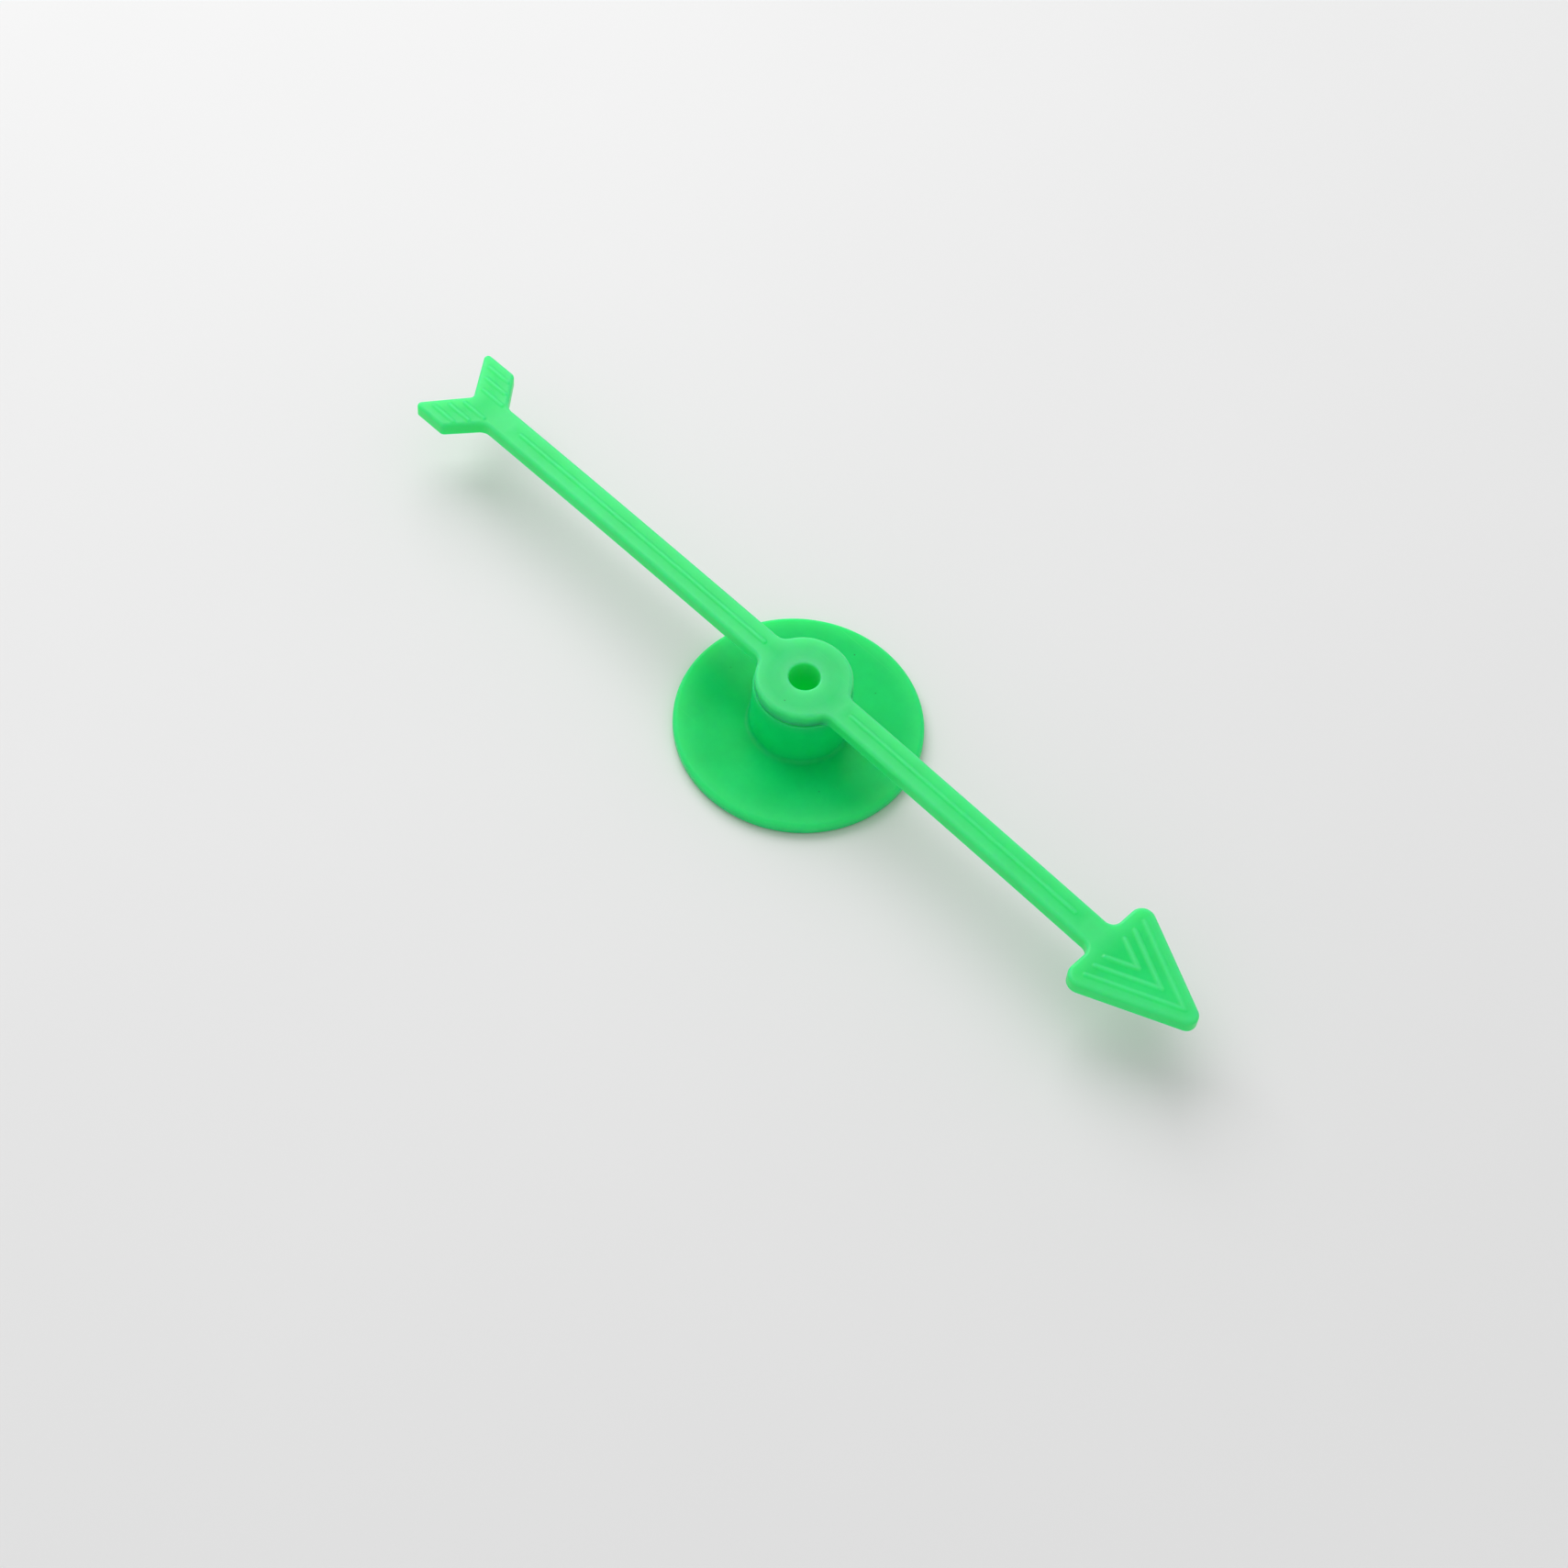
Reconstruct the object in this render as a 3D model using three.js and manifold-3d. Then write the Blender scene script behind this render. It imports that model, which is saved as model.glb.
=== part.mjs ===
// Game spinner: a moulded plastic arrow that turns freely on the hub of a round moulded base.
//
// Millimetres, +Z up. The origin is on the spin axis, in the plane that the base stands on, and the
// arrow points along +X. There are two solids:
//   base   a thin round disc with a rounded rim and an upright tubular hub. The hub has a lip inside
//          its mouth and is open from below.
//   arrow  a flat ring, two arms, a triangular head and two swept feathers in one moulding, with low
//          ribs on top and a hollow stem below. The stem's split, beaded end hooks under the hub's lip.

import * as THREE from "three";
import { mergeVertices } from "three/addons/utils/BufferGeometryUtils.js";
import Module from "manifold-3d";

const wasm = await Module();
wasm.setup();

// ---- Driving dimensions ----

const DISC_DIAMETER = 25;
const DISC_THICKNESS = 1.45;
const HUB_DIAMETER = 9.9;
const HUB_WALL = 1.5;
const RING_DIAMETER = 9.6;
const HOLE_DIAMETER = 3.1;
const ARROW_LENGTH = 102.2;
const ARROW_THICKNESS = 1.6;
const ARROW_UNDERSIDE = 7.5; // height of the arrow's flat underside
const ARM_WIDTH = 3.14;
const HEAD_LENGTH = 13.3; // from the head's back corners to where its sides would meet
const HEAD_WIDTH = 12.75; // where the sides would meet the back edge
const FEATHER_SPAN = 10; // across both feathers
const FEATHER_CHORD = 4.38; // length of a feather's outer edge
const FEATHER_SWEEP = 3.66; // how far a feather's back corner lies behind the notch
const FEATHER_FRONT_SLOPE = 0.8; // backward step of a feather's front edge per millimetre outwards

// ---- Ribs ----

const RIB_WIDTH = 0.7;
const RIB_HEIGHT = 0.22;
const RIB_SLOPE = 0.21; // how far each side of a rib leans in
const RIB_FOOT = 0.3; // how far a rib is sunk into the plate
const HEAD_ARM_RIB = [6.3, 35.8];
const TAIL_ARM_RIB = [-40.6, -5.5];
const CHEVRONS = 3;
const CHEVRON_SETBACK = 3; // from where the head's sides would meet to the first chevron's point
const CHEVRON_STEP = 2.88;
const CHEVRON_FOOT = 1.6; // from the head's back edge to the chevrons' ends
const FEATHER_RIBS = 3; // on each feather
const FEATHER_RIB_STEP = 1.26;
const FEATHER_RIB_INSET = 1; // from the feather's back edge
const FEATHER_RIB_LENGTH = 2.85;

// ---- Clearances and the snap ----

const RUNNING_GAP = 0.3; // between the arrow's underside and the hub's mouth
const RADIAL_CLEARANCE = 0.25; // between the stem and the hub's lip
const SNAP_OVERLAP = 0.25; // how far the stem's bead hooks under the lip, each side
const LIP_DEPTH = 2.6;
const STEM_WALL = 0.85;
const BEAD_HEIGHT = 0.5;
const STEM_SLOT_WIDTH = 0.7;
const STEM_SLOT_HEIGHT = 1.2;
const CUT_MARGIN = 0.5; // how far a cutting block reaches past what it cuts

// ---- Edge and corner radii ----

const RIM_RADIUS = 0.5; // disc rim, top and bottom
const FOOT_FILLET = 0.5; // where the hub meets the disc
const HUB_EDGE_RADIUS = 0.35;
const PLATE_EDGE = 0.25; // rounding of the arrow plate's edges
const RING_FILLET = 1.24; // where the arms run into the ring
const NECK_FILLET = 1; // where the arm meets the head
const HEAD_CORNER_RADIUS = 1.3;
const TIP_RADIUS = 1.1;
const FEATHER_BACK_RADIUS = 0.3;
const FEATHER_FRONT_RADIUS = 0.65;
const FEATHER_FILLET = 1.4;
const NOTCH_RADIUS = 0.5;

// ---- Facets ----

const ROUND_SEGMENTS = 72;
const CORNER_SEGMENTS = 6;

// ---- Worked out from the above ----

const discRadius = DISC_DIAMETER / 2;
const hubRadius = HUB_DIAMETER / 2;
const ringRadius = RING_DIAMETER / 2;
const holeRadius = HOLE_DIAMETER / 2;
const armHalf = ARM_WIDTH / 2;
const hubTop = ARROW_UNDERSIDE - RUNNING_GAP;
const plateTop = ARROW_UNDERSIDE + ARROW_THICKNESS;
const stemRadius = holeRadius + STEM_WALL;
const lipRadius = stemRadius + RADIAL_CLEARANCE;
const beadRadius = lipRadius + SNAP_OVERLAP;
const chamberRadius = hubRadius - HUB_WALL;
const lipUnderside = hubTop - LIP_DEPTH;

// Rounding makes the tip and the feathers' back corners stop short of where their sides would meet.
// The arrow is as long in front of the spin axis as behind it.
const headHalfAngle = Math.atan(HEAD_WIDTH / 2 / HEAD_LENGTH);
const tipSetback = TIP_RADIUS / Math.sin(headHalfAngle) - TIP_RADIUS;
const headPoint = ARROW_LENGTH / 2 + tipSetback;
const headBack = headPoint - HEAD_LENGTH;
const featherHalfAngle = Math.atan(FEATHER_SPAN / 2 / FEATHER_SWEEP) / 2;
const featherSetback = FEATHER_BACK_RADIUS / Math.tan(featherHalfAngle) - FEATHER_BACK_RADIUS;
const tailEnd = -ARROW_LENGTH / 2 - featherSetback;
const notchX = tailEnd + FEATHER_SWEEP;
const featherFrontX = tailEnd + FEATHER_CHORD;
const featherRoot = featherFrontX + (FEATHER_SPAN / 2 - armHalf) * FEATHER_FRONT_SLOPE;

// ---- Outline helpers: every function returns a list of THREE.Vector2 ----

function arc(centreX, centreY, radius, from, to, segments) {
  const points = [];
  for (let i = 0; i <= segments; i += 1) {
    const angle = from + ((to - from) * i) / segments;
    points.push(new THREE.Vector2(centreX + radius * Math.cos(angle), centreY + radius * Math.sin(angle)));
  }
  return points;
}

// Rounds the corner between two straight sides with an arc that touches both of them.
function roundedCorner(before, corner, after, radius) {
  const back = before.clone().sub(corner).normalize();
  const ahead = after.clone().sub(corner).normalize();
  const halfAngle = Math.acos(back.dot(ahead)) / 2;
  const toCentre = back.clone().add(ahead).normalize();
  const centre = corner.clone().addScaledVector(toCentre, radius / Math.sin(halfAngle));
  const reach = radius / Math.tan(halfAngle);
  const start = corner.clone().addScaledVector(back, reach).sub(centre);
  const end = corner.clone().addScaledVector(ahead, reach).sub(centre);
  const sweep = Math.atan2(start.cross(end), start.dot(end));
  return arc(centre.x, centre.y, radius, start.angle(), start.angle() + sweep, CORNER_SEGMENTS);
}

function mirrored(points) {
  return points.map((point) => new THREE.Vector2(point.x, -point.y)).reverse();
}

// The ring's upper half with the concave fillet that blends each arm's side into it.
function ringSide() {
  const filletX = Math.sqrt((ringRadius + RING_FILLET) ** 2 - (armHalf + RING_FILLET) ** 2);
  const filletY = armHalf + RING_FILLET;
  const contact = Math.atan2(filletY, filletX);
  const down = -Math.PI / 2;
  const half = Math.PI;
  return [
    ...arc(-filletX, filletY, RING_FILLET, down, -contact, CORNER_SEGMENTS),
    ...arc(0, 0, ringRadius, half - contact, contact, ROUND_SEGMENTS / 3).slice(1, -1),
    ...arc(filletX, filletY, RING_FILLET, half + contact, half - down, CORNER_SEGMENTS),
  ];
}

// The whole arrow seen from above: the upper side from the notch to the tip, then its mirror image.
function arrowOutline() {
  const notch = new THREE.Vector2(notchX, 0);
  const featherBack = new THREE.Vector2(tailEnd, FEATHER_SPAN / 2);
  const featherFront = new THREE.Vector2(featherFrontX, FEATHER_SPAN / 2);
  const root = new THREE.Vector2(featherRoot, armHalf);
  const neck = new THREE.Vector2(headBack, armHalf);
  const backCorner = new THREE.Vector2(headBack, HEAD_WIDTH / 2);
  const point = new THREE.Vector2(headPoint, 0);
  const flip = (vector) => new THREE.Vector2(vector.x, -vector.y);

  const notchArc = roundedCorner(flip(featherBack), notch, featherBack, NOTCH_RADIUS);
  const tipArc = roundedCorner(backCorner, point, flip(backCorner), TIP_RADIUS);
  const upper = [
    ...roundedCorner(notch, featherBack, featherFront, FEATHER_BACK_RADIUS),
    ...roundedCorner(featherBack, featherFront, root, FEATHER_FRONT_RADIUS),
    ...roundedCorner(featherFront, root, neck, FEATHER_FILLET),
    ...ringSide(),
    ...roundedCorner(root, neck, backCorner, NECK_FILLET),
    ...roundedCorner(neck, backCorner, point, HEAD_CORNER_RADIUS),
  ];
  return [...notchArc, ...upper, ...tipArc, ...mirrored(upper)];
}

// A stroke of constant width along a line of points, with square ends.
function stroke(points, width) {
  const left = [];
  const right = [];
  points.forEach((point, i) => {
    const back = point.clone().sub(points[Math.max(i - 1, 0)]).normalize();
    const ahead = points[Math.min(i + 1, points.length - 1)].clone().sub(point).normalize();
    const along = back.clone().add(ahead).normalize();
    const mitre = width / 2 / Math.max(along.dot(ahead), along.dot(back));
    const side = new THREE.Vector2(-along.y, along.x).multiplyScalar(mitre);
    left.push(point.clone().add(side));
    right.push(point.clone().sub(side));
  });
  return [...left, ...right.reverse()];
}

// ---- Solids ----

function solid(geometry) {
  const bare = geometry.clone();
  bare.deleteAttribute("normal");
  bare.deleteAttribute("uv");
  const merged = mergeVertices(bare, 1e-4);
  const vertProperties = new Float32Array(merged.attributes.position.array);
  const triVerts = new Uint32Array(merged.index.array);
  return new wasm.Manifold(new wasm.Mesh({ numProp: 3, vertProperties, triVerts }));
}

function geometryOf(manifold) {
  const mesh = manifold.getMesh();
  const geometry = new THREE.BufferGeometry();
  geometry.setAttribute("position", new THREE.BufferAttribute(mesh.vertProperties, 3));
  geometry.setIndex(new THREE.BufferAttribute(mesh.triVerts, 1));
  geometry.computeVertexNormals();
  return geometry;
}

// Turns a closed profile of [radius, height] points about +Z.
function turned(profile) {
  const points = profile.map(([radius, height]) => new THREE.Vector2(radius, height));
  const geometry = new THREE.LatheGeometry([...points, points[0].clone()], ROUND_SEGMENTS);
  return solid(geometry.rotateX(Math.PI / 2));
}

// A quarter-round edge of a turned profile, as [radius, height] points.
function edgeArc(radius, height, edge, from, to) {
  return arc(radius, height, edge, from, to, CORNER_SEGMENTS).map((point) => [point.x, point.y]);
}

function discAndHub() {
  const right = Math.PI / 2;
  const rimCentre = discRadius - RIM_RADIUS;
  const hubCentre = hubRadius - HUB_EDGE_RADIUS;
  return turned([
    [chamberRadius, 0],
    ...edgeArc(rimCentre, RIM_RADIUS, RIM_RADIUS, -right, 0),
    ...edgeArc(rimCentre, DISC_THICKNESS - RIM_RADIUS, RIM_RADIUS, 0, right),
    ...edgeArc(hubRadius + FOOT_FILLET, DISC_THICKNESS + FOOT_FILLET, FOOT_FILLET, -right, -2 * right),
    ...edgeArc(hubCentre, hubTop - HUB_EDGE_RADIUS, HUB_EDGE_RADIUS, 0, right),
    [lipRadius, hubTop],
    [lipRadius, lipUnderside],
    [chamberRadius, lipUnderside],
  ]);
}

function arrowPlate() {
  const shape = new THREE.Shape(arrowOutline());
  // The outline runs clockwise, so the hole runs the other way.
  const hole = arc(0, 0, holeRadius, 0, 2 * Math.PI, ROUND_SEGMENTS / 2).slice(1);
  shape.holes.push(new THREE.Path(hole));
  const geometry = new THREE.ExtrudeGeometry(shape, {
    depth: ARROW_THICKNESS - 2 * PLATE_EDGE,
    bevelThickness: PLATE_EDGE,
    bevelSize: PLATE_EDGE,
    bevelOffset: -PLATE_EDGE,
    bevelSegments: 2,
  });
  return solid(geometry.translate(0, 0, ARROW_UNDERSIDE + PLATE_EDGE));
}

// The hollow stem: a tube with a bead round its lower end, split four ways so that it can snap in.
function stem() {
  const beadTop = lipUnderside - RUNNING_GAP;
  const leadIn = beadRadius - stemRadius;
  const stemEnd = beadTop - leadIn - BEAD_HEIGHT - leadIn;
  const intoPlate = ARROW_THICKNESS / 2;
  const tube = turned([
    [holeRadius, stemEnd],
    [stemRadius, stemEnd],
    [beadRadius, stemEnd + leadIn],
    [beadRadius, stemEnd + leadIn + BEAD_HEIGHT],
    [stemRadius, beadTop],
    [stemRadius, ARROW_UNDERSIDE + intoPlate],
    [holeRadius, ARROW_UNDERSIDE + intoPlate],
  ]);
  const cutLength = 2 * (beadRadius + CUT_MARGIN);
  const cutHeight = STEM_SLOT_HEIGHT + CUT_MARGIN;
  const slot = new THREE.BoxGeometry(cutLength, STEM_SLOT_WIDTH, cutHeight);
  slot.translate(0, 0, stemEnd + STEM_SLOT_HEIGHT - cutHeight / 2);
  const slotAcross = slot.clone().rotateZ(Math.PI / 2);
  return tube.subtract(solid(slot)).subtract(solid(slotAcross));
}

// A low rib with sloping sides, standing on the plate's top along a line of points.
function rib(points) {
  const geometry = new THREE.ExtrudeGeometry(new THREE.Shape(stroke(points, RIB_WIDTH)), {
    depth: RIB_FOOT,
    bevelThickness: RIB_HEIGHT,
    bevelSize: RIB_SLOPE,
    bevelOffset: -RIB_SLOPE,
    bevelSegments: 1,
  });
  return solid(geometry.translate(0, 0, plateTop - RIB_FOOT));
}

// One straight rib along each arm.
function armRibs() {
  return [HEAD_ARM_RIB, TAIL_ARM_RIB].map((ends) => rib(ends.map((x) => new THREE.Vector2(x, 0))));
}

// Nested chevrons on the head. They share the head's own angle and end on one line.
function headRibs() {
  const ribs = [];
  const foot = headBack + CHEVRON_FOOT;
  for (let i = 0; i < CHEVRONS; i += 1) {
    const point = headPoint - CHEVRON_SETBACK - CHEVRON_STEP * i;
    const half = (point - foot) * Math.tan(headHalfAngle);
    ribs.push(rib([new THREE.Vector2(foot, half), new THREE.Vector2(point, 0), new THREE.Vector2(foot, -half)]));
  }
  return ribs;
}

// Short ribs on each feather, parallel to the arm and stepped back with the feather's sweep.
function featherRibs() {
  const ribs = [];
  const sweep = FEATHER_SWEEP / (FEATHER_SPAN / 2);
  for (const side of [1, -1]) {
    for (let i = 1; i <= FEATHER_RIBS; i += 1) {
      const offset = FEATHER_RIB_STEP * i;
      const from = notchX - sweep * offset + FEATHER_RIB_INSET;
      const to = from + FEATHER_RIB_LENGTH;
      ribs.push(rib([new THREE.Vector2(from, side * offset), new THREE.Vector2(to, side * offset)]));
    }
  }
  return ribs;
}

function wholeArrow() {
  const ribs = [...armRibs(), ...headRibs(), ...featherRibs()];
  return ribs.reduce((body, added) => body.add(added), arrowPlate().add(stem()));
}

// ---- Materials and the scene graph ----

function greenPlastic(colour) {
  return new THREE.MeshStandardMaterial({ color: colour, roughness: 0.35, metalness: 0 });
}

function part(name, body, material) {
  const mesh = new THREE.Mesh(geometryOf(body), material);
  mesh.name = name;
  return mesh;
}

const spinner = new THREE.Group();
spinner.add(part("base", discAndHub(), greenPlastic(0x22c866)));
spinner.add(part("arrow", wholeArrow(), greenPlastic(0x38e07e)));

export default spinner;
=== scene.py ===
import math

import bmesh
import bpy
import numpy as np
from mathutils import Matrix, Vector
from mathutils.geometry import delaunay_2d_cdt


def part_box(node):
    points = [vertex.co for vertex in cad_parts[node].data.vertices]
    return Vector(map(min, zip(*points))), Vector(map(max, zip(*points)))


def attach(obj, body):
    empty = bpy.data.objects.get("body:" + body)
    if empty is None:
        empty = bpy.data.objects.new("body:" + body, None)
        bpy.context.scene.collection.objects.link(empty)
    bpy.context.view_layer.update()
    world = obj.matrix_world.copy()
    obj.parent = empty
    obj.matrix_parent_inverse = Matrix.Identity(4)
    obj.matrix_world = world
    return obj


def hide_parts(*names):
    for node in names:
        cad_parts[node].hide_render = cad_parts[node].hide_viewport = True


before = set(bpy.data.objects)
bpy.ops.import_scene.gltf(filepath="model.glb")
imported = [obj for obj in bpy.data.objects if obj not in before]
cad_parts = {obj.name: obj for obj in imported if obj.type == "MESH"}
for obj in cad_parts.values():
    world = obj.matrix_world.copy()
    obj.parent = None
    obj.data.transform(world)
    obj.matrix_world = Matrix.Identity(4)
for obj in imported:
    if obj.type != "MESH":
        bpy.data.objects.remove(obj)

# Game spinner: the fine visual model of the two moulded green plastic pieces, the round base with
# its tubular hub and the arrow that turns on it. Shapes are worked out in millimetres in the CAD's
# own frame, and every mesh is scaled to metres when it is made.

MM = 0.001
TAU = 2 * math.pi
QUARTER = TAU / 4

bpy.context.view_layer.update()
base_low, base_high = (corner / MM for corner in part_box("base"))
arrow_low, arrow_high = (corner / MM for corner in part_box("arrow"))

# ---- Sizes in millimetres; what the CAD boxes give comes from them ----

RIB_HEIGHT = 0.12
RIB_HALF_WIDTH = 0.38
CAD_RIB_HEIGHT = 0.22
CAD_GAP = 0.3  # between the arrow and the hub's mouth
GAP = 0.06  # the same gap here: the real ring all but rests on the hub

DISC_RADIUS = base_high.x
PLATE_TOP = arrow_high.z - CAD_RIB_HEIGHT
UNDERSIDE = base_high.z + CAD_GAP
HUB_TOP = UNDERSIDE - GAP
REACH = arrow_high.x
STEM_END = arrow_low.z

DISC_THICKNESS = 1.45
RIM_RADIUS = 0.5
HUB_RADIUS = 4.95
HUB_EDGE = 0.15
HUB_WALL = 1.5
FOOT_FILLET = 0.5
LIP_UNDERSIDE = base_high.z - 2.6
LIP_EDGE = 0.15

RING_RADIUS = 4.8
HOLE_RADIUS = 1.55
ARM_HALF = 1.57
RING_FILLET = 1.24
HEAD_LENGTH = 13.3
HEAD_HALF_WIDTH = 6.375  # where the sides would meet the back edge
NECK_FILLET = 1.0
HEAD_CORNER = 1.3
TIP_CORNER = 1.1
FEATHER_HALF_SPAN = 5.0
FEATHER_CHORD = 4.38
FEATHER_SWEEP = 3.66
FEATHER_FRONT_SLOPE = 0.8
FEATHER_BACK_CORNER = 0.45
FEATHER_CUT = 0.24  # how much shorter the CAD's feather is for the rounding of its back corner
FEATHER_FRONT_CORNER = 0.65
FEATHER_FILLET = 1.4
NOTCH_CORNER = 0.5
TOP_EDGE = 0.4
BOTTOM_EDGE = 0.12
HOLE_EDGE = 0.22
PAINTED_BORE_FADE = 1.5  # depth at which the hole's wall reaches its full painted through-light
DROOP = 0.9  # how far the arrow's ends hang below its middle

STEM_WALL = 0.85
STEM_FILLET = 0.3
STEM_SLOT_HALF = 0.35
STEM_SLOT_TOP = STEM_END + 1.2
RADIAL_CLEARANCE = 0.25
SNAP_OVERLAP = 0.25

TURN_STEPS = 192
RING_STEPS = 64  # along the ring's free edge between the arms
HOLE_STEPS = 96
QUARTER_STEPS = HOLE_STEPS // 4
SLOT_STEPS = 3  # of those of a quarter turn, the ones on either side of a slot's middle
CORNER_STEPS = 12
EDGE_STEPS = 6
SPACING = 0.5  # between points along straight stretches of the outline
ROW_SPACING = 1.0  # between rows of vertices on wide faces, close enough for the glow to fade smoothly
WELD = 0.00001  # points closer than this are one point
SLIVER = 0.0001  # a triangle whose middle is this near the outline is a flat leftover along it
PINCH = 0.99  # an inset point that lies under this share of its depth from the outline is dropped
GUARD = 0.06  # from a rounded edge to the extra row that keeps the face beside it flat
LONG_STRETCH = 4 * GUARD  # a straight stretch of a profile longer than this gets guard rows
RIB_ROWS = (0.12, 1.1)  # the first and last row along a rib, as shares of its half width
SHARP_ANGLE = math.radians(40)  # edges sharper than this aren't smoothed over
PAINTED_LINE_REACH = 0.18  # how far the painted highlight line along an edge reaches
PAINTED_LINE_SHARE = 0.55  # the painted highlight line's share of the painted edge light at the edge; the rest is the painted band's
PAINTED_BAND_REACH = 1.6  # and the soft painted band of light behind that line
SIDE_FADE = 3  # the painted band of light fades this much faster down a side than across the top
PAINTED_RIB_HIGHLIGHT = 0.5  # painted highlight along the crest of a rib; the painted edge light at an edge is 1

HEAD_ANGLE = math.atan(HEAD_HALF_WIDTH / HEAD_LENGTH)
HEAD_POINT = REACH + TIP_CORNER / math.sin(HEAD_ANGLE) - TIP_CORNER
HEAD_BACK = HEAD_POINT - HEAD_LENGTH
TAIL_END = -REACH - FEATHER_CUT
NOTCH_X = TAIL_END + FEATHER_SWEEP
FEATHER_FRONT = TAIL_END + FEATHER_CHORD
FEATHER_ROOT = FEATHER_FRONT + (FEATHER_HALF_SPAN - ARM_HALF) * FEATHER_FRONT_SLOPE
STEM_RADIUS = HOLE_RADIUS + STEM_WALL
STEM_MOUTH = STEM_RADIUS + STEM_FILLET
LIP_RADIUS = STEM_RADIUS + RADIAL_CLEARANCE
BEAD_RADIUS = LIP_RADIUS + SNAP_OVERLAP
CHAMBER_RADIUS = HUB_RADIUS - HUB_WALL


# ---- Plane curves: lists of (x, y) ----

def arc(centre, radius, start, end, steps):
    angles = np.linspace(start, end, steps + 1)
    return [(centre[0] + radius * math.cos(a), centre[1] + radius * math.sin(a)) for a in angles]


def rounded_corner(before, corner, after, radius):
    """The arc that rounds the corner between two straight sides."""
    before, corner, after = (np.array(point, float) for point in (before, corner, after))
    back = (before - corner) / np.linalg.norm(before - corner)
    ahead = (after - corner) / np.linalg.norm(after - corner)
    half = math.acos(back @ ahead) / 2
    middle = (back + ahead) / np.linalg.norm(back + ahead)
    centre = corner + middle * radius / math.sin(half)
    reach = radius / math.tan(half)
    first = corner + back * reach - centre
    last = corner + ahead * reach - centre
    start = math.atan2(first[1], first[0])
    sweep = math.atan2(first[0] * last[1] - first[1] * last[0], first @ last)
    return arc(centre, radius, start, start + sweep, CORNER_STEPS)


def ring_side():
    """The ring's upper half, with the fillets that blend the two arms into it."""
    fillet_y = ARM_HALF + RING_FILLET
    fillet_x = math.sqrt((RING_RADIUS + RING_FILLET) ** 2 - fillet_y**2)
    contact = math.atan2(fillet_y, fillet_x)
    return [
        *arc((-fillet_x, fillet_y), RING_FILLET, -QUARTER, -contact, CORNER_STEPS),
        *arc((0, 0), RING_RADIUS, math.pi - contact, contact, RING_STEPS)[1:-1],
        *arc((fillet_x, fillet_y), RING_FILLET, math.pi + contact, 3 * QUARTER, CORNER_STEPS),
    ]


def arrow_outline():
    """The arrow seen from above: its upper side from the notch to the tip, then the mirror image."""
    notch = (NOTCH_X, 0)
    feather_back = (TAIL_END, FEATHER_HALF_SPAN)
    feather_front = (FEATHER_FRONT, FEATHER_HALF_SPAN)
    root = (FEATHER_ROOT, ARM_HALF)
    neck = (HEAD_BACK, ARM_HALF)
    head_corner = (HEAD_BACK, HEAD_HALF_WIDTH)
    point = (HEAD_POINT, 0)
    upper = [
        *rounded_corner(notch, feather_back, feather_front, FEATHER_BACK_CORNER),
        *rounded_corner(feather_back, feather_front, root, FEATHER_FRONT_CORNER),
        *rounded_corner(feather_front, root, neck, FEATHER_FILLET),
        *ring_side(),
        *rounded_corner(root, neck, head_corner, NECK_FILLET),
        *rounded_corner(neck, head_corner, point, HEAD_CORNER),
    ]
    lower = [(x, -y) for x, y in reversed(upper)]
    notch_arc = rounded_corner(lower[-1], notch, feather_back, NOTCH_CORNER)
    tip_arc = rounded_corner(head_corner, point, (HEAD_BACK, -HEAD_HALF_WIDTH), TIP_CORNER)
    return [*notch_arc, *upper, *tip_arc, *lower]


def resampled(loop):
    """The same closed curve with extra points on its long straight stretches."""
    points = []
    for start, end in zip(loop, loop[1:] + loop[:1]):
        pieces = max(1, math.ceil(math.dist(start, end) / SPACING))
        for i in range(pieces):
            share = i / pieces
            points.append((start[0] + (end[0] - start[0]) * share, start[1] + (end[1] - start[1]) * share))
    return points


def distance_to(points, starts, ends):
    """Each point's distance to the nearest of the straight pieces from starts to ends."""
    points, starts, ends = (np.array(values, float) for values in (points, starts, ends))
    along = ends - starts
    squared = (along**2).sum(1)
    nearest = np.full(len(points), np.inf)
    for start, step, square in zip(starts, along, squared):
        share = np.clip((points - start) @ step / square, 0, 1)
        gap = points - start - share[:, None] * step
        nearest = np.minimum(nearest, np.hypot(gap[:, 0], gap[:, 1]))
    return nearest


def inside(points, loop):
    """Whether each point lies inside a closed curve, by counting crossings."""
    points = np.array(points, float)
    crossings = np.zeros(len(points), int)
    for (x0, y0), (x1, y1) in zip(loop, loop[1:] + loop[:1]):
        if y0 == y1:
            continue
        spans = (y0 > points[:, 1]) != (y1 > points[:, 1])
        x_there = x0 + (points[:, 1] - y0) * (x1 - x0) / (y1 - y0)
        crossings += spans & (points[:, 0] < x_there)
    return crossings % 2 == 1


def inset(loop, depth):
    """The curve a given depth inside a clockwise closed curve.

    It leaves out the points that pinch at tight corners."""
    points = np.array(loop)
    along = np.roll(points, -1, 0) - np.roll(points, 1, 0)
    along /= np.linalg.norm(along, axis=1)[:, None]
    moved = points + depth * np.stack([along[:, 1], -along[:, 0]], 1)
    kept = distance_to(moved, loop, loop[1:] + loop[:1]) > depth * PINCH
    return [tuple(point) for point in moved[kept]]


# ---- The ribs on the arrow's top: straight legs as pairs of end points ----

CHEVRONS = 3
CHEVRON_STEP = 2.88
CHEVRON_SETBACK = 3.0  # from the point where the head's sides would meet to the first chevron's
CHEVRON_FOOT = 1.6  # from the head's back edge to the chevrons' ends
FEATHER_RIBS = 3
FEATHER_RIB_STEP = 1.26
FEATHER_RIB_INSET = 1.05
FEATHER_RIB_LENGTH = 2.8
HEAD_ARM_RIB = (6.4, 35.7)
TAIL_ARM_RIB = (-40.5, -5.6)


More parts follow.
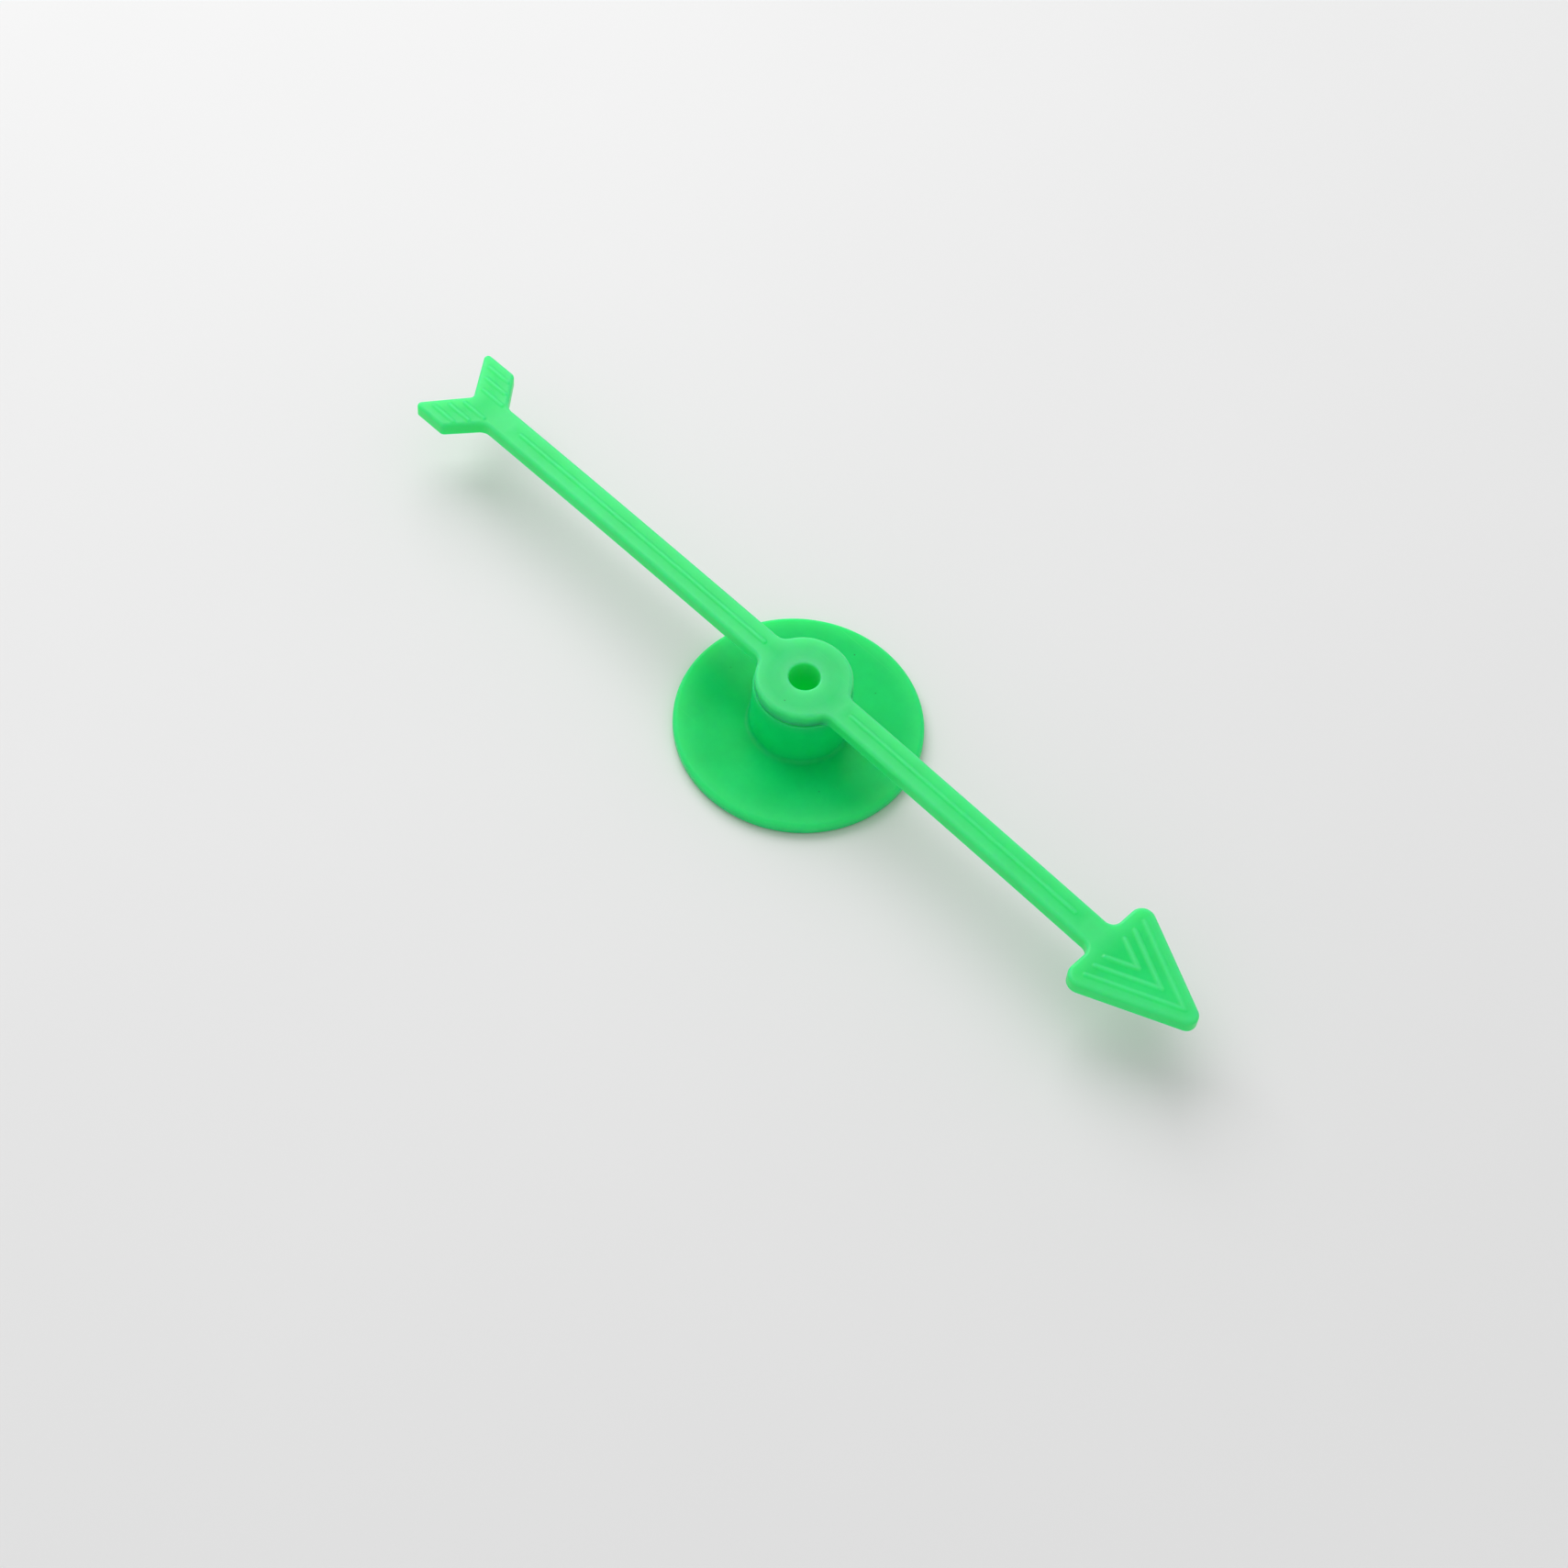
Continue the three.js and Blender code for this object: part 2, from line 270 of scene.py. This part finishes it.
def rib_legs():
    """One rib along each arm, chevrons on the head and short ribs on the feathers."""
    legs = [((start, 0), (end, 0)) for start, end in (HEAD_ARM_RIB, TAIL_ARM_RIB)]
    foot = HEAD_BACK + CHEVRON_FOOT
    for i in range(CHEVRONS):
        point = HEAD_POINT - CHEVRON_SETBACK - CHEVRON_STEP * i
        spread = (point - foot) * math.tan(HEAD_ANGLE)
        legs += [((foot, side * spread), (point, 0)) for side in (1, -1)]
    slope = FEATHER_SWEEP / FEATHER_HALF_SPAN
    for i in range(FEATHER_RIBS):
        offset = FEATHER_RIB_STEP * (i + 1)
        start = NOTCH_X - slope * offset + FEATHER_RIB_INSET
        for side in (1, -1):
            legs.append(((start, side * offset), (start + FEATHER_RIB_LENGTH, side * offset)))
    return legs


def capsule(leg, radius):
    """The closed curve at a distance round a straight leg."""
    (x0, y0), (x1, y1) = leg
    angle = math.atan2(y1 - y0, x1 - x0)
    far = arc((x1, y1), radius, angle - QUARTER, angle + QUARTER, EDGE_STEPS)
    near = arc((x0, y0), radius, angle + QUARTER, angle + 3 * QUARTER, EDGE_STEPS)
    return resampled([*far, *near])


# ---- Meshes ----

def edge_drop(distance, radius):
    """How far a quarter-round edge lies below the face, by distance from the outline."""
    depth = radius - np.clip(distance, 0, radius)
    return radius - np.sqrt(radius**2 - depth**2)


def edge_depths(radius):
    """Distances from the outline at which the rows of a quarter-round edge lie, with its guard row."""
    angles = np.linspace(0, QUARTER, EDGE_STEPS + 1)[1:]
    return [*(radius * (1 - math.cos(angle)) for angle in angles), radius + GUARD]


def triangulated(loops, outline, hole_radius):
    """Triangles between the outline and the round hole, with an edge along every loop.

    Gives the points, the triangles, and for each loop the numbers of its points."""
    points, edges, spans = [], [], []
    for loop in loops:
        first = len(points)
        points.extend(loop)
        edges.extend((first + i, first + (i + 1) % len(loop)) for i in range(len(loop)))
        spans.append(range(first, len(points)))
    vectors = [Vector(point) for point in points]
    made, _, faces, origins, _, _ = delaunay_2d_cdt(vectors, edges, [], 0, WELD)
    made = np.array([tuple(point) for point in made])
    number = {source: i for i, sources in enumerate(origins) for source in sources}
    middles = np.array([made[list(face)].mean(0) for face in faces])
    clear = distance_to(middles, outline, outline[1:] + outline[:1]) > SLIVER
    outside_hole = np.hypot(*middles.T) > hole_radius * math.cos(math.pi / HOLE_STEPS)
    wanted = inside(middles, outline) & clear & outside_hole
    kept = [face for face, keep in zip(faces, wanted) if keep]
    return made, kept, [[number[i] for i in span] for span in spans]


def circle(radius):
    return arc((0, 0), radius, 0, TAU, HOLE_STEPS)[:-1]


def bridge(mesh, lower, upper):
    """Faces between two rings of the same number of vertices."""
    count = len(lower)
    for i in range(count):
        j = (i + 1) % count
        mesh.faces.new((lower[i], lower[j], upper[j], upper[i]))


def guarded(profile):
    """The same profile with guard points near both ends of its long straight stretches, and some between."""
    points = [profile[0]]
    for start, end in zip(profile, profile[1:]):
        length = math.dist(start, end)
        if length > LONG_STRETCH:
            steps = math.ceil(length / ROW_SPACING)
            for share in np.linspace(GUARD / length, 1 - GUARD / length, steps + 1):
                points.append(tuple(a + (b - a) * share for a, b in zip(start, end)))
        points.append(end)
    return points


def turned_rows(mesh, profile, steps):
    """Rings of vertices, one for each (radius, height) of the profile."""
    rows = []
    for radius, height in profile:
        angles = (TAU * i / steps for i in range(steps))
        rows.append([mesh.verts.new((radius * math.cos(a), radius * math.sin(a), height)) for a in angles])
    return rows


def piece(name, mesh, material, body):
    """Turns the mesh, in millimetres, into a finished smooth object that rides on its CAD body."""
    bmesh.ops.recalc_face_normals(mesh, faces=mesh.faces)
    bmesh.ops.scale(mesh, vec=Vector((MM, MM, MM)), verts=mesh.verts)
    data = bpy.data.meshes.new(name)
    mesh.to_mesh(data)
    mesh.free()
    data.shade_smooth()
    data.set_sharp_from_angle(angle=SHARP_ANGLE)
    data.materials.append(material)
    made = bpy.data.objects.new(name, data)
    bpy.context.scene.collection.objects.link(made)
    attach(made, body)
    return made


def painted_edge_light(to_edge, to_top_edge):
    """Painted edge light: how much paler the colour is made near the edges, in place of light through the
    translucent plastic, most of all near those on top.
    """
    line = PAINTED_LINE_SHARE * np.exp(-to_edge / PAINTED_LINE_REACH)
    band = (1 - PAINTED_LINE_SHARE) * np.exp(-((to_top_edge / PAINTED_BAND_REACH) ** 2))
    return line + band


def mark(mesh, layer_name, amounts):
    """Keeps a number from 0 to 1 at every vertex, for the material to read."""
    layer = mesh.verts.layers.float.new(layer_name)
    for vert, amount in zip(mesh.verts, amounts):
        vert[layer] = amount


def base_mesh():
    """The disc and hub: one profile turned about the spin axis."""
    lower_rim = (DISC_RADIUS - RIM_RADIUS, RIM_RADIUS)
    upper_rim = (DISC_RADIUS - RIM_RADIUS, DISC_THICKNESS - RIM_RADIUS)
    foot = (HUB_RADIUS + FOOT_FILLET, DISC_THICKNESS + FOOT_FILLET)
    mouth = (HUB_RADIUS - HUB_EDGE, HUB_TOP - HUB_EDGE)
    lip = (LIP_RADIUS + LIP_EDGE, HUB_TOP - LIP_EDGE)
    profile = [
        (CHAMBER_RADIUS, LIP_EDGE),
        (CHAMBER_RADIUS + LIP_EDGE, 0),
        *arc(lower_rim, RIM_RADIUS, -QUARTER, 0, CORNER_STEPS),
        *arc(upper_rim, RIM_RADIUS, 0, QUARTER, CORNER_STEPS),
        *arc(foot, FOOT_FILLET, -QUARTER, -math.pi, CORNER_STEPS),
        *arc(mouth, HUB_EDGE, 0, QUARTER, CORNER_STEPS),
        *arc(lip, LIP_EDGE, QUARTER, math.pi, EDGE_STEPS),
        (LIP_RADIUS, LIP_UNDERSIDE),
        (CHAMBER_RADIUS, LIP_UNDERSIDE),
        (CHAMBER_RADIUS, LIP_EDGE),
    ]
    mesh = bmesh.new()
    rows = turned_rows(mesh, guarded(profile)[:-1], TURN_STEPS)
    for lower, upper in zip(rows, rows[1:] + rows[:1]):
        bridge(mesh, lower, upper)
    radii = np.array([vert.co.xy.length for vert in mesh.verts])
    heights = np.array([vert.co.z for vert in mesh.verts])
    to_rim = np.hypot(DISC_RADIUS - radii, DISC_THICKNESS - heights)
    to_mouth = np.hypot(HUB_RADIUS - radii, HUB_TOP - heights)
    # Painted edge light: paler along the disc's rim, and a painted highlight line round the hub's mouth.
    mark(mesh, "painted_light", painted_edge_light(np.minimum(to_rim, to_mouth), to_rim))
    return mesh


def stem_row(mesh, radius, height):
    """A ring of vertices with one at every corner of the slots, which cross the stem along x and y."""
    edge = math.asin(STEM_SLOT_HALF / radius)
    corner_steps = (0, SLOT_STEPS, QUARTER_STEPS - SLOT_STEPS, QUARTER_STEPS)
    corner_angles = (0, edge, QUARTER - edge, QUARTER)
    row = []
    for i in range(HOLE_STEPS):
        turn, step = divmod(i, QUARTER_STEPS)
        angle = turn * QUARTER + np.interp(step, corner_steps, corner_angles)
        row.append(mesh.verts.new((radius * math.cos(angle), radius * math.sin(angle), height)))
    return row


def add_fingers(mesh, rows):
    """The stem's four fingers, by rows from the slots' top down outside, round the ends and up inside."""
    for i in range(HOLE_STEPS):
        j = (i + 1) % HOLE_STEPS
        step = i % QUARTER_STEPS
        if SLOT_STEPS <= step < QUARTER_STEPS - SLOT_STEPS:
            for lower, upper in zip(rows, rows[1:]):
                mesh.faces.new((lower[i], lower[j], upper[j], upper[i]))
        else:
            mesh.faces.new((rows[0][i], rows[0][j], rows[-1][j], rows[-1][i]))
        if step in (SLOT_STEPS, QUARTER_STEPS - SLOT_STEPS):
            mesh.faces.new([row[i] for row in rows])


def add_stem(mesh, foot, mouth):
    """The hollow stem from its foot, on the arrow's underside, up inside it to the hole's mouth on top."""
    lead_in = BEAD_RADIUS - STEM_RADIUS
    bead_top = LIP_UNDERSIDE - CAD_GAP
    fillet_centre = (STEM_MOUTH, UNDERSIDE - STEM_FILLET)
    shank = [
        *arc(fillet_centre, STEM_FILLET, QUARTER, math.pi, EDGE_STEPS)[1:],
        (STEM_RADIUS, bead_top),
        (STEM_RADIUS + bead_top - STEM_SLOT_TOP, STEM_SLOT_TOP),
    ]
    fingers = [
        (BEAD_RADIUS, bead_top - lead_in),
        (BEAD_RADIUS, STEM_END + lead_in),
        (STEM_RADIUS, STEM_END),
        (HOLE_RADIUS, STEM_END),
    ]
    outside = [foot, *(stem_row(mesh, *point) for point in guarded(shank))]
    inside_top = stem_row(mesh, HOLE_RADIUS, STEM_SLOT_TOP)
    slotted = [outside[-1], *(stem_row(mesh, *point) for point in fingers), inside_top]
    for lower, upper in [*zip(outside, outside[1:]), (inside_top, mouth)]:
        bridge(mesh, lower, upper)
    add_fingers(mesh, slotted)


def top_loops(outline):
    """The curves along which the arrow's top has rows of vertices; the first two bound it."""
    rib_rows = [RIB_HALF_WIDTH * share for share in np.linspace(*RIB_ROWS, EDGE_STEPS)]
    ring_rows = np.arange(HOLE_RADIUS + ROW_SPACING, RING_RADIUS - TOP_EDGE, ROW_SPACING)
    return [
        outline,
        circle(HOLE_RADIUS),
        *(inset(outline, depth) for depth in edge_depths(TOP_EDGE)),
        *(circle(HOLE_RADIUS + depth) for depth in edge_depths(HOLE_EDGE)),
        *(circle(radius) for radius in ring_rows),
        *(capsule(leg, radius) for leg in rib_legs() for radius in rib_rows),
    ]


def bottom_loops(outline):
    """The same for the arrow's underside."""
    edge_rows = (inset(outline, depth) for depth in edge_depths(BOTTOM_EDGE))
    return [outline, circle(STEM_MOUTH), *edge_rows]


def top_height(points, outline):
    height = PLATE_TOP - edge_drop(distance_to(points, outline, outline[1:] + outline[:1]), TOP_EDGE)
    height -= edge_drop(np.hypot(*points.T) - HOLE_RADIUS, HOLE_EDGE)
    share = np.clip(distance_to(points, *zip(*rib_legs())) / RIB_HALF_WIDTH, 0, 1)
    return height + RIB_HEIGHT * (0.5 + 0.5 * np.cos(math.pi * share))


def bottom_height(points, outline):
    return UNDERSIDE + edge_drop(distance_to(points, outline, outline[1:] + outline[:1]), BOTTOM_EDGE)


def add_plate_face(mesh, outline, loops, hole_radius, height_at):
    """The arrow's top or underside. Gives its rings of vertices along the outline and round the hole."""
    points, triangles, numbers = triangulated(loops, outline, hole_radius)
    verts = [mesh.verts.new((x, y, z)) for (x, y), z in zip(points, height_at(points, outline))]
    for triangle in triangles:
        mesh.faces.new([verts[i] for i in triangle])
    return [[verts[i] for i in loop] for loop in numbers[:2]]


def add_sides(mesh, bottom_edge, top_edge):
    """The arrow's straight side walls, with a guard row by each rounded edge."""
    rows = [bottom_edge]
    for height in (UNDERSIDE + BOTTOM_EDGE + GUARD, PLATE_TOP - TOP_EDGE - GUARD):
        rows.append([mesh.verts.new((vert.co.x, vert.co.y, height)) for vert in bottom_edge])
    rows.append(top_edge)
    for lower, upper in zip(rows, rows[1:]):
        bridge(mesh, lower, upper)


def mark_arrow(mesh, outline):
    """Keeps the painted edge light near the arrow's edges, the painted highlight on its ribs, and the
    painted light through the hole's wall.
    """
    places = np.array([tuple(vert.co) for vert in mesh.verts])
    radii = np.hypot(places[:, 0], places[:, 1])
    below = np.clip(PLATE_TOP - places[:, 2], 0, None)
    to_outline = distance_to(places[:, :2], outline, outline[1:] + outline[:1])
    to_side = np.hypot(to_outline, SIDE_FADE * below)
    to_hole = np.hypot(np.abs(radii - HOLE_RADIUS), SIDE_FADE * below)
    to_bottom = np.hypot(to_outline, places[:, 2] - UNDERSIDE)
    to_top = np.minimum(to_side, to_hole)
    # Painted highlight: rib crests are paler the higher they stand above the top.
    above = np.sqrt(np.clip((places[:, 2] - PLATE_TOP) / RIB_HEIGHT, 0, 1))
    mark(mesh, "painted_light", np.maximum(painted_edge_light(np.minimum(to_top, to_bottom), to_top), PAINTED_RIB_HIGHLIGHT * above))
    # Painted light: the hole's wall glows, more the deeper it goes, in place of light through the plastic.
    mark(mesh, "painted_bore_light", (radii < HOLE_RADIUS + HOLE_EDGE) * np.clip(below / PAINTED_BORE_FADE, 0, 1))


def arrow_mesh():
    """The arrow: a top with ribs and rounded edges, straight sides, a flat underside and the stem."""
    outline = resampled(arrow_outline())
    mesh = bmesh.new()
    top = (top_loops(outline), HOLE_RADIUS, top_height)
    bottom = (bottom_loops(outline), STEM_MOUTH, bottom_height)
    top_edge, top_hole = add_plate_face(mesh, outline, *top)
    bottom_edge, bottom_hole = add_plate_face(mesh, outline, *bottom)
    add_sides(mesh, bottom_edge, top_edge)
    add_stem(mesh, bottom_hole, top_hole)
    loose = [vert for vert in mesh.verts if not vert.link_faces]
    bmesh.ops.delete(mesh, geom=loose, context="VERTS")
    mark_arrow(mesh, outline)
    for vert in mesh.verts:
        vert.co.z -= DROOP * (vert.co.x / REACH) ** 2
    return mesh


# ---- Materials; scales are in features per metre ----

SCATTER = (0.15, 2.0, 0.5)  # how far red, green and blue travel in the plastic, as shares of the depth below
SCATTER_DEPTH = 2.0 * MM
REFRACTION = 1.49
CLOUDS = 180.0
CLOUD_RANGE = (0.3, 0.7)
SCRATCH_SCALE = (90, 5000, 5000)
SCRATCH_RANGE = (0.69, 0.78)  # noise values at which a scratch begins and is at its full depth
SCRATCH_TURNS = (28, -61)  # degrees
SCRATCH_TINT = (0.015, 0.02, 0.015, 1)
SPECK_CELLS = 420.0
SPECK_SIZE = 0.035  # of a cell
SPECK_SHARE = 0.3  # of the cells that hold a speck
SPECK_TINT = (0.5, 0.55, 0.5, 1)
# Painted light: a green emission that lights the hole's wall from within, in place of light through the
# plastic.
PAINTED_BORE_COLOUR = (0, 0.8, 0.06, 1)
PAINTED_BORE_STRENGTH = 0.33
SCUFFS = 900.0
ROUGHNESS_RANGE = (0.24, 0.44)
GRAIN = 2500.0
GRAIN_DEPTH = 0.02 * MM
FLOOR_STOPS = ((0, (0.77, 0.77, 0.77)), (1, (0.81, 0.81, 0.81)))


def node(tree, kind, **settings):
    """A new node, with each setting given to its input or property of that name."""
    made = tree.nodes.new(kind)
    for key, value in settings.items():
        if key in made.inputs:
            made.inputs[key].default_value = value
        else:
            setattr(made, key, value)
    return made


def noise(tree, place, **settings):
    made = node(tree, "ShaderNodeTexNoise", **settings)
    tree.links.new(place, made.inputs["Vector"])
    return made.outputs["Fac"]


def calculated(tree, operation, *values):
    """The result of a sum on two values, each a number or another node's output."""
    made = node(tree, "ShaderNodeMath", operation=operation)
    for socket, value in zip(made.inputs, values):
        if isinstance(value, float):
            socket.default_value = value
        else:
            tree.links.new(value, socket)
    return made.outputs["Value"]


def blended(tree, colour, factor, tint, blend="MIX"):
    """The colour with a fixed tint blended into it by a factor."""
    made = node(tree, "ShaderNodeMix", data_type="RGBA", blend_type=blend)
    made.inputs["B"].default_value = tint
    tree.links.new(factor, made.inputs["Factor"])
    tree.links.new(colour, made.inputs["A"])
    return made.outputs["Result"]


def ramp(tree, value, stops):
    """A colour that follows a value between two stops, each a position and a colour."""
    made = tree.nodes.new("ShaderNodeValToRGB")
    for element, (position, colour) in zip(made.color_ramp.elements, stops):
        element.position = position
        element.color = (*colour, 1)
    tree.links.new(value, made.inputs["Fac"])
    return made.outputs["Color"]


def scratches(tree, place, turn):
    """Fine hairline scratches in one direction: 1 in a scratch, 0 elsewhere."""
    stretch = node(tree, "ShaderNodeMapping")
    stretch.inputs["Rotation"].default_value = (0, 0, math.radians(turn))
    stretch.inputs["Scale"].default_value = SCRATCH_SCALE
    tree.links.new(place, stretch.inputs["Vector"])
    cut = node(tree, "ShaderNodeMapRange")
    cut.inputs["From Min"].default_value, cut.inputs["From Max"].default_value = SCRATCH_RANGE
    tree.links.new(noise(tree, stretch.outputs["Vector"], Scale=1.0, Detail=2.0), cut.inputs["Value"])
    return cut.outputs["Result"]


def specks(tree, place):
    """Sparse tiny dark inclusions in the plastic: 1 in a speck, 0 elsewhere."""
    cells = node(tree, "ShaderNodeTexVoronoi", Scale=SPECK_CELLS)
    tree.links.new(place, cells.inputs["Vector"])
    parts = tree.nodes.new("ShaderNodeSeparateColor")
    tree.links.new(cells.outputs["Color"], parts.inputs["Color"])
    near = calculated(tree, "LESS_THAN", cells.outputs["Distance"], SPECK_SIZE)
    chosen = calculated(tree, "LESS_THAN", parts.outputs["Red"], SPECK_SHARE)
    return calculated(tree, "MULTIPLY", near, chosen)


def plastic_colour(tree, place, worn, stops, edge):
    """Cloudy green, paler by the painted edge light and painted rib highlight kept at the vertices, with
    scratches and specks.
    """
    cloud = noise(tree, place, Scale=CLOUDS, Detail=4.0, Roughness=0.6)
    painted_light = node(tree, "ShaderNodeAttribute", attribute_name="painted_light").outputs["Fac"]
    # Painted light: the colour is drawn towards the pale edge colour where the painted edge light is kept.
    lit = blended(tree, ramp(tree, cloud, stops), painted_light, (*edge, 1))
    rubbed = blended(tree, lit, worn, SCRATCH_TINT, "ADD")
    return blended(tree, rubbed, specks(tree, place), SPECK_TINT, "MULTIPLY")


def plastic_roughness(tree, place):
    made = node(tree, "ShaderNodeMapRange")
    made.inputs["To Min"].default_value, made.inputs["To Max"].default_value = ROUGHNESS_RANGE
    scuff = noise(tree, place, Scale=SCUFFS, Detail=6.0, Roughness=0.7)
    tree.links.new(scuff, made.inputs["Value"])
    return made.outputs["Result"]


def plastic_relief(tree, place, worn):
    """A fine grain, with the scratches cut into it."""
    grain = noise(tree, place, Scale=GRAIN, Detail=3.0)
    made = node(tree, "ShaderNodeBump", Strength=0.3, Distance=GRAIN_DEPTH)
    tree.links.new(calculated(tree, "SUBTRACT", grain, worn), made.inputs["Height"])
    return made.outputs["Normal"]


def green_plastic(name, deep, light, edge, sheen):
    """Soft translucent moulded plastic: light carries on under the surface, most of all in green."""
    material = bpy.data.materials.new(name)
    material.use_nodes = True
    tree = material.node_tree
    place = tree.nodes.new("ShaderNodeTexCoord").outputs["Object"]
    worn = calculated(tree, "MAXIMUM", *(scratches(tree, place, turn) for turn in SCRATCH_TURNS))
    # The hole's wall glows by a painted emission, standing in for light through the plastic.
    painted_bore_light = node(tree, "ShaderNodeAttribute", attribute_name="painted_bore_light").outputs["Fac"]
    fixed = {
        "Subsurface Weight": 1.0,
        "Subsurface Radius": SCATTER,
        "Subsurface Scale": SCATTER_DEPTH,
        "IOR": REFRACTION,
        "Specular IOR Level": sheen,
        "Emission Color": PAINTED_BORE_COLOUR,
    }
    # The base colour carries the painted edge light and the painted rib highlight.
    varied = {
        "Base Color": plastic_colour(tree, place, worn, zip(CLOUD_RANGE, (deep, light)), edge),
        "Emission Strength": calculated(tree, "MULTIPLY", painted_bore_light, PAINTED_BORE_STRENGTH),
        "Roughness": plastic_roughness(tree, place),
        "Normal": plastic_relief(tree, place, worn),
    }
    shader = tree.nodes["Principled BSDF"]
    for key, value in fixed.items():
        shader.inputs[key].default_value = value
    for key, output in varied.items():
        tree.links.new(output, shader.inputs[key])
    return material


def floor_material():
    material = bpy.data.materials.new("pale_floor")
    material.use_nodes = True
    tree = material.node_tree
    shader = tree.nodes["Principled BSDF"]
    shader.inputs["Roughness"].default_value = 0.9
    place = tree.nodes.new("ShaderNodeTexCoord").outputs["Object"]
    mottle = noise(tree, place, Scale=14.0, Detail=5.0)
    tree.links.new(ramp(tree, mottle, FLOOR_STOPS), shader.inputs["Base Color"])
    return material


# ---- The stage: floor, light and camera; lengths in metres, angles in degrees ----

FLOOR_HALF_SIZE = 4
FLOOR_DEPTH = 0.02 * MM  # below the disc's underside, so that the two faces don't coincide
CAMERA_TARGET = Vector((5.52, -7.92, 4.45)) * MM
CAMERA_DISTANCE = 320.7 * MM
CAMERA_AZIMUTH = 39.08
CAMERA_ELEVATION = 57.36
CAMERA_ROLL = 6.99
CAMERA_LENS = 76.19  # millimetres, for the sensor's width below
CAMERA_SENSOR = 36
CAMERA_NEAR = 0.01


def direction(azimuth, elevation):
    """From the object towards a viewer; azimuth 0 is a viewer on the -Y side."""
    a, e = math.radians(azimuth), math.radians(elevation)
    return Vector((math.sin(a) * math.cos(e), -math.cos(a) * math.cos(e), math.sin(e)))


def add_floor():
    mesh = bmesh.new()
    bmesh.ops.create_grid(mesh, x_segments=8, y_segments=8, size=FLOOR_HALF_SIZE)
    data = bpy.data.meshes.new("floor")
    mesh.to_mesh(data)
    mesh.free()
    data.materials.append(floor_material())
    floor = bpy.data.objects.new("floor", data)
    floor.location.z = -FLOOR_DEPTH
    bpy.context.scene.collection.objects.link(floor)


def add_lamp(name, azimuth, elevation, distance, size, power):
    data = bpy.data.lights.new(name, "AREA")
    data.shape = "DISK"
    data.size = size
    data.energy = power
    lamp = bpy.data.objects.new(name, data)
    away = direction(azimuth, elevation)
    lamp.location = away * distance
    lamp.rotation_mode = "QUATERNION"
    lamp.rotation_quaternion = away.to_track_quat("Z", "Y")
    bpy.context.scene.collection.objects.link(lamp)


def add_world(colour, strength):
    world = bpy.data.worlds.new("studio")
    world.use_nodes = True
    background = world.node_tree.nodes["Background"]
    background.inputs["Color"].default_value = (*colour, 1)
    background.inputs["Strength"].default_value = strength
    bpy.context.scene.world = world


def add_camera():
    back = direction(CAMERA_AZIMUTH, CAMERA_ELEVATION)
    data = bpy.data.cameras.new("camera")
    data.sensor_width = CAMERA_SENSOR
    data.lens = CAMERA_LENS
    data.clip_start = CAMERA_NEAR
    camera = bpy.data.objects.new("camera", data)
    camera.location = CAMERA_TARGET + back * CAMERA_DISTANCE
    upright = (-back).to_track_quat("-Z", "Y").to_matrix()
    turned = Matrix.Rotation(math.radians(CAMERA_ROLL), 3, back) @ upright
    camera.rotation_mode = "QUATERNION"
    camera.rotation_quaternion = turned.to_quaternion()
    bpy.context.scene.collection.objects.link(camera)
    bpy.context.scene.camera = camera


# ---- Build ----

# Each material's edge colour is painted light: the pale colour laid along its edges and rib crests.
base_green = green_plastic(
    "base_green", deep=(0.001, 0.62, 0.13), light=(0.004, 0.72, 0.165), edge=(0.06, 0.78, 0.23), sheen=0.1
)
arrow_green = green_plastic(
    "arrow_green", deep=(0.004, 0.6, 0.14), light=(0.01, 0.69, 0.187), edge=(0.12, 0.77, 0.31), sheen=0.22
)
base = piece("spinner_base", base_mesh(), base_green, "base_body")
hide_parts("base")
arrow = piece("spinner_arrow", arrow_mesh(), arrow_green, "arrow_body")
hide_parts("arrow")

add_floor()
add_world(colour=(1, 1, 1), strength=0.64)
add_lamp("overhead", azimuth=250, elevation=48, distance=0.5, size=0.5, power=1.55)
add_camera()
bpy.context.scene.view_settings.view_transform = "Standard"
